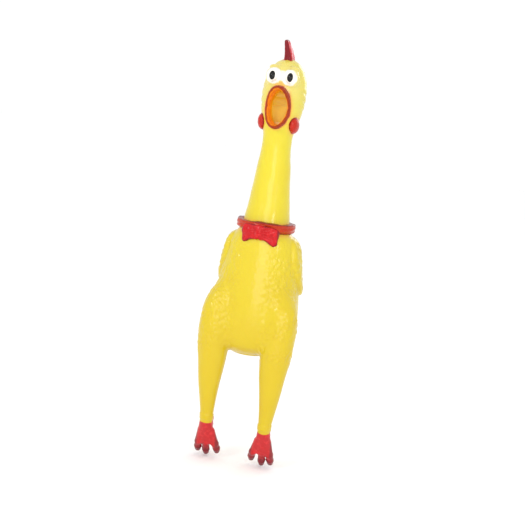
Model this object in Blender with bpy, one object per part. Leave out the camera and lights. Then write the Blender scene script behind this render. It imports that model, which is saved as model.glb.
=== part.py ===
"""Rubber chicken: a hollow soft-vinyl squeeze toy with a reed squawker in its throat.

The chicken hangs upright with its head at +Z and its face towards -Y, so its left side is at +X.
The origin is in the middle of the body, where a hand squeezes it.
Sizes are in millimetres, and every mesh is scaled to metres when it becomes an object.
The skin is one casting. It is divided here into stiff zones, and into folds where it bends.
"""

import math

import bmesh
import bpy
from mathutils import Matrix, Vector

MM = 0.001

# ---------------------------------------------------------------- driving dimensions

WALL = 2.0  # vinyl thickness
LEG_WALL = 1.6
GAP = 0.3  # clearance between neighbouring solids
SKIN_SIDES = 28  # facets round the body, neck and head
LEG_SIDES = 18

COLLAR_Z = 52.0
COLLAR_HEIGHT = 6.4
COLLAR_RELIEF = 3.4  # how far the collar stands out of the neck
NECK_FOOT_Z = COLLAR_Z + COLLAR_HEIGHT / 2 + 0.3  # where the body ends and the neck starts

# Each neck fold runs from one height to the next, and its hinge is half-way up it.
NECK_ROOT_FOLD = (NECK_FOOT_Z, 67.0)
NECK_MIDDLE_FOLD = (73.5, 83.5)
NECK_TOP_FOLD = (93.0, 103.0)

HIP_FOLD = (-52.0, -43.0)
ANKLE_FOLD = (-92.5, -86.5)

MOUTH_Z = 137.6
MOUTH_INNER = (7.3, 12.2)  # half width and half height of the open mouth
LIP = 2.3
CORNER_Y = -19.2  # front of the lips at the corners of the mouth
UPPER_BEAK_REACH = 7.7
LOWER_BEAK_REACH = 5.1
POCKET_Y = -12.7  # the lips end and the mouth pocket starts here
POCKET_DEPTH = 14.0
POCKET_WALL = 1.4

THROAT_Y = -2.4  # vertical axis of the socket that grips the squawker
SOCKET_RADIUS = 6.3
SOCKET_WALL = 1.1
SOCKET_Z = (109.5, 131.0)
BARREL_RADIUS = 6.0
BARREL_BORE = 4.8
BARREL_Z = (111.0, 127.0)
PLUG_Z = (121.8, 126.6)
TONGUE_ROOT_Z = 121.2
TONGUE_TIP_Z = 112.4
TONGUE_WIDTH = 4.4
TONGUE_THICKNESS = 0.3
TONGUE_LIFT = 5.0  # degrees that the relaxed reed stands open

PANEL_Z = -10.7  # centre of the soft back that a thumb presses in
PANEL_HALF = (16.0, 22.8)

# Skin outlines: height, half width, front, back.
BODY = [
    (NECK_FOOT_Z, 16.9, -16.7, 17.2),
    (49.6, 17.8, -17.3, 17.7),
    (46.0, 20.6, -18.2, 18.7),
    (40.0, 24.0, -19.2, 20.8),
    (30.0, 26.8, -20.3, 23.6),
    (16.0, 28.6, -21.9, 27.2),
    (2.0, 30.3, -23.6, 30.7),
    (-12.0, 31.2, -24.3, 32.6),
    (-22.0, 30.4, -24.0, 32.0),
    (-30.0, 27.4, -22.6, 28.4),
    (-36.5, 22.2, -18.8, 22.0),
    (-41.0, 14.2, -12.4, 12.6),
    (-43.0, 1.2, -1.8, 0.6),
]
NECK_AND_HEAD = [
    (NECK_FOOT_Z, 16.9, -16.7, 17.2),
    (61.0, 15.9, -15.6, 16.3),
    (69.0, 14.8, -14.4, 14.9),
    (78.0, 13.7, -13.5, 13.2),
    (86.0, 12.8, -12.8, 11.8),
    (95.0, 12.0, -12.7, 10.5),
    (103.5, 11.2, -12.8, 9.3),
    (112.0, 11.0, -13.2, 9.0),
    (118.5, 11.4, -14.8, 9.4),
    (124.5, 12.4, -17.0, 11.8),
    (130.0, 13.5, -18.4, 14.4),
    (137.0, 14.8, -19.0, 16.5),
    (146.0, 15.5, -18.9, 17.1),
    (154.0, 14.9, -17.6, 17.0),
    (161.0, 13.2, -15.6, 15.9),
    (167.0, 9.8, -11.8, 12.6),
    (171.0, 5.2, -6.4, 7.2),
    (172.4, 0.6, -0.4, 1.2),
]
# The left leg: height, centre x, centre y, half width, half depth.
LEG = [
    (10.0, 19.5, -7.5, 5.0, 7.5),
    (-2.0, 22.6, -11.0, 9.8, 10.6),
    (-16.0, 23.8, -13.3, 11.4, 11.2),
    (-30.0, 23.8, -14.5, 11.4, 10.6),
    (-43.0, 23.2, -14.9, 10.8, 9.4),
    (-52.0, 22.9, -15.0, 9.9, 8.2),
    (-67.0, 22.9, -14.1, 7.9, 7.0),
    (-84.0, 22.3, -12.2, 5.6, 5.4),
    (-93.0, 21.9, -11.3, 4.7, 4.6),
    (-99.0, 21.6, -10.2, 4.5, 4.1),
]

SIDES = {"left": 1, "right": -1}

# ---------------------------------------------------------------- meshes


def clear_scene():
    for obj in list(bpy.data.objects):
        bpy.data.objects.remove(obj)


def material(name, colour, roughness):
    made = bpy.data.materials.new(name)
    made.use_nodes = True
    shader = made.node_tree.nodes["Principled BSDF"]
    shader.inputs["Base Color"].default_value = (*colour, 1.0)
    shader.inputs["Roughness"].default_value = roughness
    shader.inputs["Metallic"].default_value = 0.0
    return made


def curve_through(keys, height):
    """The row of an outline table at this height, on a smooth curve through its rows."""
    rows = sorted(keys)
    height = min(max(height, rows[0][0]), rows[-1][0])
    i = max(k for k in range(len(rows) - 1) if rows[k][0] <= height)
    low, high = rows[i], rows[i + 1]
    before = rows[max(i - 1, 0)]
    after = rows[min(i + 2, len(rows) - 1)]
    span = high[0] - low[0]
    t = (height - low[0]) / span
    found = []
    for k in range(1, len(low)):
        slope_low = (high[k] - before[k]) / (high[0] - before[0]) * span
        slope_high = (after[k] - low[k]) / (after[0] - low[0]) * span
        found.append(
            (2 * t**3 - 3 * t**2 + 1) * low[k]
            + (t**3 - 2 * t**2 + t) * slope_low
            + (3 * t**2 - 2 * t**3) * high[k]
            + (t**3 - t**2) * slope_high
        )
    return found


def ellipse(centre, half_x, half_y, sides):
    """Points round a level ellipse, anticlockwise from above."""
    turns = [2 * math.pi * n / sides for n in range(sides)]
    return [centre + Vector((half_x * math.cos(a), half_y * math.sin(a), 0)) for a in turns]


def outline_ring(keys, height, grow=0.0, sides=SKIN_SIDES, level=None):
    """The outline's ring at one height, moved out by grow. level puts the ring at another height."""
    half, front, back = curve_through(keys, height)
    centre = Vector((0, (front + back) / 2, height if level is None else level))
    return ellipse(centre, half + grow, (back - front) / 2 + grow, sides)


def leg_ring(height, side, grow=0.0, sides=LEG_SIDES):
    x, y, half_x, half_y = curve_through(LEG, height)
    return ellipse(Vector((side * x, y, height)), half_x + grow, half_y + grow, sides)


def heights(low, high, count):
    return [low + (high - low) * n / (count - 1) for n in range(count)]


def add_object(name, bm, shade=None, sharp=40):
    """Turns a bmesh in millimetres into an object in metres, smooth but for its sharp edges."""
    bmesh.ops.remove_doubles(bm, verts=bm.verts, dist=0.001)
    bmesh.ops.recalc_face_normals(bm, faces=bm.faces)
    bmesh.ops.scale(bm, vec=(MM, MM, MM), verts=bm.verts)
    mesh = bpy.data.meshes.new(name)
    bm.to_mesh(mesh)
    bm.free()
    obj = bpy.data.objects.new(name, mesh)
    bpy.context.scene.collection.objects.link(obj)
    return finish(obj, shade, sharp)


def finish(obj, shade=None, sharp=40):
    obj.data.shade_smooth()
    obj.data.set_sharp_from_angle(angle=math.radians(sharp))
    if shade:
        obj.data.materials.clear()
        obj.data.materials.append(shade)
    return obj


def bridge(bm, rings, closed=False):
    """Joins rings of the same number of points, and the last to the first if closed."""
    placed = [[bm.verts.new(p) for p in ring] for ring in rings]
    pairs = list(zip(placed, placed[1:]))
    if closed:
        pairs.append((placed[-1], placed[0]))
    for low, high in pairs:
        for n in range(len(low)):
            m = (n + 1) % len(low)
            bm.faces.new((low[n], low[m], high[m], high[n]))
    return placed


def loft(name, rings, shade=None, sharp=40):
    """A solid through rings, with flat ends."""
    bm = bmesh.new()
    placed = bridge(bm, rings)
    bm.faces.new(placed[0])
    bm.faces.new(placed[-1])
    return add_object(name, bm, shade, sharp)


def tube(name, outer, inner, shade=None):
    """A wall between outer rings and inner rings, open at both ends."""
    bm = bmesh.new()
    bridge(bm, outer + inner[::-1], closed=True)
    return add_object(name, bm, shade)


def ellipsoid(name, centre, half, shade=None, segments=16, rings=10, turn=None):
    bm = bmesh.new()
    bmesh.ops.create_uvsphere(bm, u_segments=segments, v_segments=rings, radius=1)
    place = Matrix.Translation(centre) @ (turn or Matrix.Identity(4)) @ Matrix.Diagonal((*half, 1))
    bmesh.ops.transform(bm, matrix=place, verts=bm.verts)
    return add_object(name, bm, shade)


def cylinder(name, centre, radius, z_low, z_high, shade=None, sides=24):
    rings = [ellipse(Vector((*centre, z)), radius, radius, sides) for z in (z_low, z_high)]
    return loft(name, rings, shade)


def block(name, low, high, shade=None):
    bm = bmesh.new()
    bmesh.ops.create_cube(bm, size=1)
    size = Vector(high) - Vector(low)
    place = Matrix.Translation((Vector(high) + Vector(low)) / 2) @ Matrix.Diagonal((*size, 1))
    bmesh.ops.transform(bm, matrix=place, verts=bm.verts)
    return add_object(name, bm, shade)


def prism(name, outline, along, start, end, shade=None):
    """A closed outline in the other two axes, extruded along X or Y."""
    bm = bmesh.new()
    ends = []
    for reach in (start, end):
        if along == "X":
            points = [Vector((reach, a, b)) for a, b in outline]
        else:
            points = [Vector((a, reach, b)) for a, b in outline]
        ends.append(points)
    placed = bridge(bm, ends)
    bm.faces.new(placed[0])
    bm.faces.new(placed[-1])
    return add_object(name, bm, shade)


def combine(obj, operation, tools):
    """Applies a Boolean with each tool in turn, and deletes the tools."""
    for tool in tools:
        step = obj.modifiers.new(operation.title(), "BOOLEAN")
        step.operation = operation
        step.solver = "EXACT"
        step.object = tool
        bpy.context.view_layer.update()
        graph = bpy.context.evaluated_depsgraph_get()
        mesh = bpy.data.meshes.new_from_object(obj.evaluated_get(graph))
        obj.modifiers.clear()
        obj.data = mesh
        bpy.data.objects.remove(tool)
    return finish(obj, obj.data.materials[0] if obj.data.materials else None)


def copy_of(obj, name):
    made = obj.copy()
    made.data = obj.data.copy()
    made.name = name
    bpy.context.scene.collection.objects.link(made)
    return made


def smooth_outline(points, steps=3):
    """A closed outline through these points, rounded by a Catmull-Rom curve."""
    found = []
    count = len(points)
    for n in range(count):
        p = [Vector(points[(n + k) % count]) for k in (-1, 0, 1, 2)]
        for step in range(steps):
            t = step / steps
            bend = 2 * p[0] - 5 * p[1] + 4 * p[2] - p[3]
            twist = 3 * (p[1] - p[2]) + p[3] - p[0]
            found.append((2 * p[1] + (p[2] - p[0]) * t + bend * t**2 + twist * t**3) / 2)
    return found


# ---------------------------------------------------------------- skin of the body


def body_solid(name, grow=0.0, with_legs=True):
    """The body filled in, its surface moved out by grow. A smaller copy runs out of its openings."""
    through = 2 * WALL if grow < 0 else 0.0
    bottom = BODY[-1][0] - grow
    scale = (NECK_FOOT_Z - bottom) / (NECK_FOOT_Z - BODY[-1][0])
    rows = heights(BODY[-1][0], NECK_FOOT_Z, 14)
    rows = [BODY[-1][0] + 0.4, BODY[-1][0] + 1.4] + [z for z in rows if z > BODY[-1][0] + 2]
    rings = []
    for z in rows:
        level = NECK_FOOT_Z - (NECK_FOOT_Z - z) * scale
        rings.append(outline_ring(BODY, z, grow, level=level))
    if through:
        rings.append(outline_ring(BODY, NECK_FOOT_Z, grow, level=NECK_FOOT_Z + through))
    solid = loft(name, rings)
    if with_legs:
        legs = []
        for side in SIDES.values():
            rows = heights(HIP_FOLD[1], 10.0 + min(grow, 0.0), 7)
            rings = [leg_ring(z, side, grow) for z in rows]
            if through:
                down = Vector((0, 0, -through))
                rings.insert(0, [p + down for p in rings[0]])
            legs.append(loft("thigh", rings))
        combine(solid, "UNION", legs)
    return solid


def panel_cutter(grow):
    half_x, half_z = PANEL_HALF
    turns = [2 * math.pi * n / 24 for n in range(24)]
    outline = [
        ((half_x + grow) * math.cos(a), PANEL_Z + (half_z + grow) * math.sin(a)) for a in turns
    ]
    return prism("window", outline, "Y", 12.0, 45.0)


def make_body(vinyl):
    """The body skin with its thighs, and the soft back that moves in when the toy is squeezed."""
    skin = body_solid("torso_skin")
    combine(skin, "DIFFERENCE", [body_solid("hollow", grow=-WALL)])
    panel = copy_of(skin, "back_panel")
    combine(skin, "DIFFERENCE", [panel_cutter(grow=0.0)])
    combine(panel, "INTERSECT", [panel_cutter(grow=-GAP)])
    tail = ellipsoid("tail", (0, 31.6, -25.6), (6.6, 4.6, 6.0), vinyl)
    combine(tail, "DIFFERENCE", [body_solid("against", grow=GAP, with_legs=False)])
    return finish(skin, vinyl), finish(panel, vinyl), tail


def make_wing(name, side, vinyl):
    """A raised wing that follows the side of the body: broad at the shoulder, round at the tip."""
    outline = smooth_outline(
        [(-9, 37), (-6, 43), (2, 44), (11, 43), (17, 38), (19, 26), (19, 13), (14, 6), (8, 5), (-2, 17), (-8, 28)]
    )
    wing = prism(name, outline, "X", side * 8, side * 45)
    relief = body_solid("relief", grow=3.0, with_legs=False)
    combine(wing, "INTERSECT", [relief])
    combine(wing, "DIFFERENCE", [body_solid("against", grow=GAP, with_legs=False)])
    return finish(wing, vinyl)


def make_collar(paint):
    """A rounded band round the foot of the neck."""
    bm = bmesh.new()
    rings = []
    for n in range(8):
        turn = 2 * math.pi * n / 8
        out = GAP + COLLAR_RELIEF / 2 * (1 - math.cos(turn))
        z = COLLAR_Z + COLLAR_HEIGHT / 2 * math.sin(turn)
        half, front, back = curve_through(BODY, COLLAR_Z - COLLAR_HEIGHT / 2)
        centre = Vector((0, (front + back) / 2, z))
        rings.append(ellipse(centre, half + out, (back - front) / 2 + out, SKIN_SIDES))
    bridge(bm, rings, closed=True)
    return add_object("collar_band", bm, paint)


def make_bow(paint):
    """A flat bow on the front of the collar: a knot and two loops that flare and droop."""
    front = -22.6
    knot = ellipsoid("bow_knot", (0, front, 47.4), (2.2, 1.5, 3.6), paint, 12, 8)
    loops = []
    for name, side in SIDES.items():
        rings = []
        for x in heights(2.6, 13.6, 8):
            share = (x - 2.6) / 11.0
            half_z = 2.0 + 2.9 * share**0.7
            half_y = 1.1 if share < 0.99 else 0.6
            if share > 0.99:
                half_z -= 0.6
            y = front * math.sqrt(1 - (x / 27.0) ** 2)
            centre = Vector((side * x, y, 47.6 - 1.8 * share))
            turns = [2 * math.pi * n / 12 for n in range(12)]
            rings.append(
                [centre + Vector((0, half_y * math.sin(a), half_z * math.cos(a))) for a in turns]
            )
        loops.append(loft(f"bow_{name}", rings, paint))
    return [knot] + loops


# ---------------------------------------------------------------- neck, legs and feet


def neck_zone(name, z_low, z_high, vinyl, count=3):
    """A length of neck skin."""
    rows = heights(z_low, z_high, count)
    outer = [outline_ring(NECK_AND_HEAD, z) for z in rows]
    inner = [outline_ring(NECK_AND_HEAD, z, -WALL) for z in rows]
    return tube(name, outer, inner, vinyl)


def leg_zone(name, side, z_low, z_high, vinyl, count=3):
    """A length of leg skin."""
    rows = heights(z_low, z_high, count)
    outer = [leg_ring(z, side) for z in rows]
    inner = [leg_ring(z, side, -LEG_WALL) for z in rows]
    return tube(name, outer, inner, vinyl)


def tapered_limb(points, sides=12):
    """A solid that follows points, each with its radius, and ends round."""
    rings = []
    for n, (place, radius) in enumerate(points):
        before = Vector(points[max(n - 1, 0)][0])
        after = Vector(points[min(n + 1, len(points) - 1)][0])
        turn = (after - before).to_track_quat("Z", "Y")
        circle = ellipse(Vector(), radius, radius, sides)
        rings.append([Vector(place) + turn @ p for p in circle])
    return loft("limb", rings)


def make_foot(name, side, paint):
    """A foot that hangs toes down: a palm, three toes that fan out, and a long heel toe."""
    x, y, half_x, half_y = curve_through(LEG, ANKLE_FOLD[0])
    ankle = Vector((side * x, y, ANKLE_FOLD[0] - GAP))
    palm = [(0, 0, 0, 0), (-6, 1.3, 0.4, -0.3), (-13, 3.7, 1.5, -0.8), (-19, 6.0, 2.5, -1.5)]
    rings = []
    for drop, back, wider, deeper in palm:
        middle = ankle + Vector((0, back, drop))
        rings.append(ellipse(middle, half_x + wider, half_y + deeper, 16))
    foot = loft(name, rings)
    toes = []
    for spread, drop in ((-7.4, 28.2), (0.5, 31.6), (7.6, 27.8)):
        spread *= side
        start = ankle + Vector((spread * 0.4, 3.0, -10.0))
        knuckle = ankle + Vector((spread * 0.82, 7.2, -21.0))
        joint = ankle + Vector((spread * 0.97, 9.6, 3.2 - drop))
        tip = ankle + Vector((spread, 11.4, 0.3 - drop))
        toes.append(tapered_limb([(start, 2.2), (knuckle, 2.6), (joint, 2.2), (tip, 1.2)]))
    heel = ankle + Vector((0, 3.0, -3.6))
    spur = [(heel, 3.0), (heel + Vector((0, 6.0, -1.8)), 2.9)]
    spur += [(heel + Vector((0, 10.4, -7.4)), 2.3), (heel + Vector((0, 14.0, -11.8)), 1.0)]
    toes.append(tapered_limb(spur))
    combine(foot, "UNION", toes)
    return finish(foot, paint)


# ---------------------------------------------------------------- head


def head_solid(name, grow=0.0):
    """The head and the top of the neck filled in, down to the top fold."""
    start = NECK_TOP_FOLD[1] + GAP
    top = NECK_AND_HEAD[-1][0]
    rows = heights(start, top - 6.0, 11) + [top - 4.0, top - 2.0, top - 0.6]
    scale = (top + grow - start) / (top - start)
    rings = []
    if grow < 0:
        rings.append(outline_ring(NECK_AND_HEAD, start, grow, level=start - 2 * WALL))
    for z in rows:
        rings.append(outline_ring(NECK_AND_HEAD, z, grow, level=start + (z - start) * scale))
    return loft(name, rings)


def oval_cutter(half_x, half_z, y_from, y_to):
    turns = [2 * math.pi * n / 28 for n in range(28)]
    outline = [(half_x * math.cos(a), MOUTH_Z + half_z * math.sin(a)) for a in turns]
    return prism("oval", outline, "Y", y_from, y_to)


def eye_shape(side, grow):
    """Where an eye bulges out of the face: its centre and its half sizes."""
    centre = (side * 6.9, -13.4, 160.2)
    return centre, (5.2 + grow, 6.0 + grow, 5.7 + grow)


def make_head(vinyl, paint, white, black):
    mouth_x, mouth_z = MOUTH_INNER
    skin = head_solid("head_skin")
    hollows = [head_solid("hollow", grow=-WALL)]
    hollows.append(oval_cutter(mouth_x + LIP + GAP, mouth_z + LIP + GAP, -40.0, -6.0))
    for side in SIDES.values():
        hollows.append(ellipsoid("socket", *eye_shape(side, GAP)))
    combine(skin, "DIFFERENCE", hollows)
    pieces = [finish(skin, vinyl), make_comb(paint)]
    for name, side in SIDES.items():
        centre, half = eye_shape(side, 0.0)
        pieces.append(ellipsoid(f"eye_{name}", centre, half, white))
        spot = Vector(centre) + Vector((side * 0.4, -5.6, 0.6))
        pupil = ellipsoid(f"pupil_{name}", spot, (2.0, 1.6, 3.0), black, 12, 8)
        combine(pupil, "DIFFERENCE", [ellipsoid("against", *eye_shape(side, GAP))])
        pieces.append(pupil)
        turn = Matrix.Rotation(math.radians(12), 4, "X")
        lobe = ellipsoid(f"earlobe_{name}", (side * 11.2, -8.0, 126.0), (3.6, 7.0, 6.0), paint, turn=turn)
        combine(lobe, "DIFFERENCE", [head_solid("against", grow=GAP)])
        pieces.append(lobe)
    return pieces


def make_comb(paint):
    """A thick fin along the crown: high in front, with two low waves down to the nape."""
    outline = smooth_outline(
        [
            (-6.5, 168),
            (-7.8, 174),
            (-11.4, 184.4),
            (-4.0, 184.8),
            (2.6, 181.6),
            (6.6, 176.6),
            (11.8, 173.6),
            (15.0, 169.2),
            (18.8, 165.6),
            (19.4, 160),
            (17.6, 154.5),
            (13, 160),
            (4, 168),
        ],
        steps=2,
    )
    comb = prism("comb", outline, "X", -2.6, 2.6)
    bevel = comb.modifiers.new("Bevel", "BEVEL")
    bevel.width = 1.1 * MM
    bevel.segments = 2
    combine(comb, "DIFFERENCE", [head_solid("against", grow=GAP)])
    return finish(comb, paint)


def make_beak(name, up, paint):
    """Half of the open beak: a lip that reaches further forward the further it is from the corner."""
    inner_x, inner_z = MOUTH_INNER
    reach = UPPER_BEAK_REACH if up > 0 else LOWER_BEAK_REACH
    spare = GAP / inner_x / 2  # radians that keep the two halves apart at the corner
    rings = []
    for turn in heights(spare, math.pi - spare, 19):
        front = CORNER_Y - reach * math.sin(turn) ** 1.3
        ring = []
        back = POCKET_Y - GAP
        for out, y in ((LIP, back), (LIP, front + 1.2), (LIP / 2, front), (0.0, front + 1.2), (0.0, back)):
            x = (inner_x + out) * math.cos(turn)
            z = MOUTH_Z + up * (inner_z + out) * math.sin(turn)
            ring.append(Vector((x, y, z)))
        rings.append(ring)
    return loft(name, rings, paint)


def make_mouth_pocket(lining):
    """The mouth's lining: a bowl behind the beak, and the socket that it leads down into."""
    inner_x, inner_z = MOUTH_INNER
    bowl = (0.0, POCKET_Y, MOUTH_Z)
    wall = POCKET_WALL
    pocket = ellipsoid(
        "mouth_pocket", bowl, (inner_x + wall, POCKET_DEPTH + wall, inner_z + wall), lining, 24, 14
    )
    socket = cylinder("socket", (0, THROAT_Y), SOCKET_RADIUS + SOCKET_WALL, *SOCKET_Z)
    combine(pocket, "UNION", [socket])
    hollow = ellipsoid("hollow", bowl, (inner_x, POCKET_DEPTH, inner_z), None, 24, 14)
    bore = cylinder("bore", (0, THROAT_Y), SOCKET_RADIUS, SOCKET_Z[0] - 3, SOCKET_Z[1])
    front = block("front", (-20, -60, 100), (20, POCKET_Y, 180))
    return combine(pocket, "DIFFERENCE", [hollow, bore, front])


# ---------------------------------------------------------------- squawker


def make_squawker(plastic, film):
    """A barrel pressed into the throat, and in it a block whose channel the reed tongue covers."""
    barrel = cylinder("squawker_barrel", (0, THROAT_Y), BARREL_RADIUS, *BARREL_Z, plastic)
    bore = cylinder("bore", (0, THROAT_Y), BARREL_BORE, BARREL_Z[0] - 1, BARREL_Z[1] + 1)
    combine(barrel, "DIFFERENCE", [bore])

    face = THROAT_Y - 0.4  # flat face of the block, under the tongue
    low = TONGUE_TIP_Z - 0.6
    body = cylinder("reed_block", (0, THROAT_Y), BARREL_BORE - GAP, *PLUG_Z, plastic)
    trough = cylinder("trough", (0, THROAT_Y), 3.6, low, PLUG_Z[0] + 1)
    flat = block("flat", (-9, -30, low - 1), (9, face, PLUG_Z[0]))
    combine(trough, "DIFFERENCE", [flat])
    combine(body, "UNION", [trough])
    channel = block("channel", (-1.4, face - 1, low + 1.2), (1.4, face + 2.4, PLUG_Z[0] + 0.2))
    outlet = block("outlet", (-1.4, face + 0.2, PLUG_Z[0] - 1), (1.4, face + 2.4, PLUG_Z[1] + 1))
    combine(body, "DIFFERENCE", [channel, outlet])

    half = TONGUE_WIDTH / 2
    back = face - GAP
    tongue = block(
        "reed_tongue",
        (-half, back - TONGUE_THICKNESS, TONGUE_TIP_Z),
        (half, back, TONGUE_ROOT_Z),
        film,
    )
    hinge = Vector((0, back * MM, TONGUE_ROOT_Z * MM))
    lift = Matrix.Rotation(math.radians(-TONGUE_LIFT), 4, "X")
    tongue.data.transform(Matrix.Translation(hinge) @ lift @ Matrix.Translation(-hinge))

    clear = back - TONGUE_THICKNESS - GAP
    wedge = block(
        "reed_wedge",
        (-half, clear - 1.2, TONGUE_ROOT_Z - 1.6),
        (half, clear, PLUG_Z[0] - GAP),
        plastic,
    )
    return [barrel, body, wedge], tongue


# ---------------------------------------------------------------- assembly


def hang_on(name, pivot, pieces):
    """Parents pieces to an empty at their joint, with their meshes measured from it."""
    empty = bpy.data.objects.new(name, None)
    bpy.context.scene.collection.objects.link(empty)
    empty.location = Vector(pivot) * MM
    for piece in pieces:
        piece.data.transform(Matrix.Translation(-empty.location))
        piece.parent = empty
    return empty


def middle(span):
    return (span[0] + span[1]) / 2


def main():
    clear_scene()
    vinyl = material("yellow_vinyl", (0.87, 0.68, 0.04), 0.34)
    paint = material("red_paint", (0.68, 0.03, 0.05), 0.32)
    lining = material("mouth_lining", (0.92, 0.55, 0.03), 0.4)
    white = material("eye_white", (0.93, 0.93, 0.88), 0.3)
    black = material("pupil_black", (0.01, 0.01, 0.01), 0.25)
    plastic = material("squawker_plastic", (0.86, 0.85, 0.8), 0.35)
    film = material("reed_film", (0.75, 0.78, 0.8), 0.2)

    torso, panel, tail = make_body(vinyl)
    for name, side in SIDES.items():
        make_wing(f"wing_{name}", side, vinyl)
    make_collar(paint)
    make_bow(paint)

    neck_zone("neck_root_fold", NECK_ROOT_FOLD[0] + GAP, NECK_ROOT_FOLD[1], vinyl)
    lower = neck_zone("neck_lower_skin", NECK_ROOT_FOLD[1] + GAP, NECK_MIDDLE_FOLD[0], vinyl, 2)
    middle_fold = neck_zone("neck_middle_fold", NECK_MIDDLE_FOLD[0] + GAP, NECK_MIDDLE_FOLD[1], vinyl)
    upper = neck_zone("neck_upper_skin", NECK_MIDDLE_FOLD[1] + GAP, NECK_TOP_FOLD[0], vinyl, 2)
    top_fold = neck_zone("neck_top_fold", NECK_TOP_FOLD[0] + GAP, NECK_TOP_FOLD[1], vinyl)

    head = make_head(vinyl, paint, white, black)
    head += [make_beak("beak_upper", 1, paint), make_beak("beak_lower", -1, paint)]
    head.append(make_mouth_pocket(lining))
    squawker, tongue = make_squawker(plastic, film)
    head += squawker

    hang_on("neck_root_hinge", (0, 0, middle(NECK_ROOT_FOLD)), [lower, middle_fold])
    hang_on("neck_middle_hinge", (0, -0.4, middle(NECK_MIDDLE_FOLD)), [upper, top_fold])
    hang_on("neck_top_hinge", (0, -1.5, middle(NECK_TOP_FOLD)), head)
    hang_on("reed_hinge", (0, THROAT_Y - 0.4 - GAP, TONGUE_ROOT_Z), [tongue])
    hang_on("squeeze_guide", (0, 32.0, PANEL_Z), [panel, tail])

    for name, side in SIDES.items():
        leg_zone(f"hip_fold_{name}", side, HIP_FOLD[0] + GAP, HIP_FOLD[1] - GAP, vinyl)
        shin = leg_zone(f"leg_skin_{name}", side, ANKLE_FOLD[1], HIP_FOLD[0], vinyl, 6)
        fold = leg_zone(f"ankle_fold_{name}", side, ANKLE_FOLD[0], ANKLE_FOLD[1] - GAP, vinyl, 2)
        foot = make_foot(f"foot_{name}", side, paint)
        hip_x, hip_y = curve_through(LEG, middle(HIP_FOLD))[:2]
        ankle_x, ankle_y = curve_through(LEG, middle(ANKLE_FOLD))[:2]
        hang_on(f"hip_hinge_{name}", (side * hip_x, hip_y, middle(HIP_FOLD)), [shin, fold])
        hang_on(f"ankle_hinge_{name}", (side * ankle_x, ankle_y, middle(ANKLE_FOLD)), [foot])


main()
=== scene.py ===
"""Looks of the rubber chicken: its moulded vinyl skin, its paint, its beak, comb, bow and squawker.

Every skin piece is the surface of one field, a function that is negative inside the toy. The field
joins the body, neck, head, thighs, wings, tail and toes with soft fillets, as one casting has them.
Fields and outlines are in millimetres, in the CAD frame, and meshes are scaled to metres.
"""

import math

import bpy
import numpy as np
from mathutils import Matrix, Vector


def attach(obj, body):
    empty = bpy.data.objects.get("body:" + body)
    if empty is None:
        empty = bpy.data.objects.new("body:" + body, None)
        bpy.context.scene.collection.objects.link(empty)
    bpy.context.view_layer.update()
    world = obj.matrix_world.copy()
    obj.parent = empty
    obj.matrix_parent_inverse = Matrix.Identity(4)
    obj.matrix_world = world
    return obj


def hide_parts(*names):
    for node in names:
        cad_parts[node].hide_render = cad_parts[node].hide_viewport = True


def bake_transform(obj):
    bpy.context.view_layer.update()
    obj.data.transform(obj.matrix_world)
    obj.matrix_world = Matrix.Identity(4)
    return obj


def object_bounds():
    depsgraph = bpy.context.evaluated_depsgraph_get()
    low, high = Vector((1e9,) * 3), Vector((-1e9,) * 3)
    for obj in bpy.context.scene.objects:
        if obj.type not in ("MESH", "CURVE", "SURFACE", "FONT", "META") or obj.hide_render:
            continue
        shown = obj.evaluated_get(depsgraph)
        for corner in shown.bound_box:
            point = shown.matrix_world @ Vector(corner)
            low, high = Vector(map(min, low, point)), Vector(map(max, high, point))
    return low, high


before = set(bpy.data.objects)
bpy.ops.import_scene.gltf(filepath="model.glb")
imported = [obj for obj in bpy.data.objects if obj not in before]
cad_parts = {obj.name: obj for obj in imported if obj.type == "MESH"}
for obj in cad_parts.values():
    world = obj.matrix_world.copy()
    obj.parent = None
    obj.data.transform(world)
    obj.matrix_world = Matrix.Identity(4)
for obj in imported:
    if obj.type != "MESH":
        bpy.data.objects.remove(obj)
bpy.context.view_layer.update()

MM = 0.001
SIDES = {"left": 1, "right": -1}

# -------------------- outlines

# The body, neck and head: height, half width, front, back.
TRUNK = [
    (-43.4, 0.8, -2.4, 0.0),
    (-42.8, 7.8, -8.0, 6.0),
    (-41.0, 14.2, -12.4, 12.0),
    (-36.5, 22.2, -18.8, 21.2),
    (-30.0, 27.4, -22.6, 27.8),
    (-22.0, 30.4, -24.0, 31.6),
    (-12.0, 31.2, -24.3, 32.6),
    (2.0, 30.2, -23.6, 30.7),
    (16.0, 28.4, -21.9, 27.2),
    (30.0, 26.4, -20.3, 23.4),
    (40.0, 24.0, -19.2, 20.8),
    (46.0, 20.6, -18.2, 18.7),
    (50.0, 17.8, -17.2, 17.6),
    (55.5, 16.7, -16.5, 17.1),
    (61.0, 15.9, -15.6, 16.3),
    (69.0, 14.8, -14.4, 14.9),
    (78.0, 13.7, -13.5, 13.2),
    (86.0, 12.8, -12.8, 11.8),
    (95.0, 12.0, -12.7, 10.5),
    (103.5, 11.0, -12.7, 9.2),
    (112.0, 10.4, -13.1, 8.9),
    (118.5, 10.7, -14.8, 9.4),
    (124.5, 12.4, -17.0, 11.8),
    (130.0, 13.5, -18.4, 14.4),
    (137.0, 14.8, -19.0, 16.5),
    (146.0, 15.5, -18.9, 17.1),
    (154.0, 14.9, -17.6, 17.0),
    (161.0, 13.2, -15.6, 15.9),
    (167.0, 9.8, -11.8, 12.6),
    (170.2, 6.3, -7.6, 8.6),
    (171.8, 2.8, -3.4, 4.4),
    (172.4, 0.6, -0.2, 1.0),
]
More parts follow.
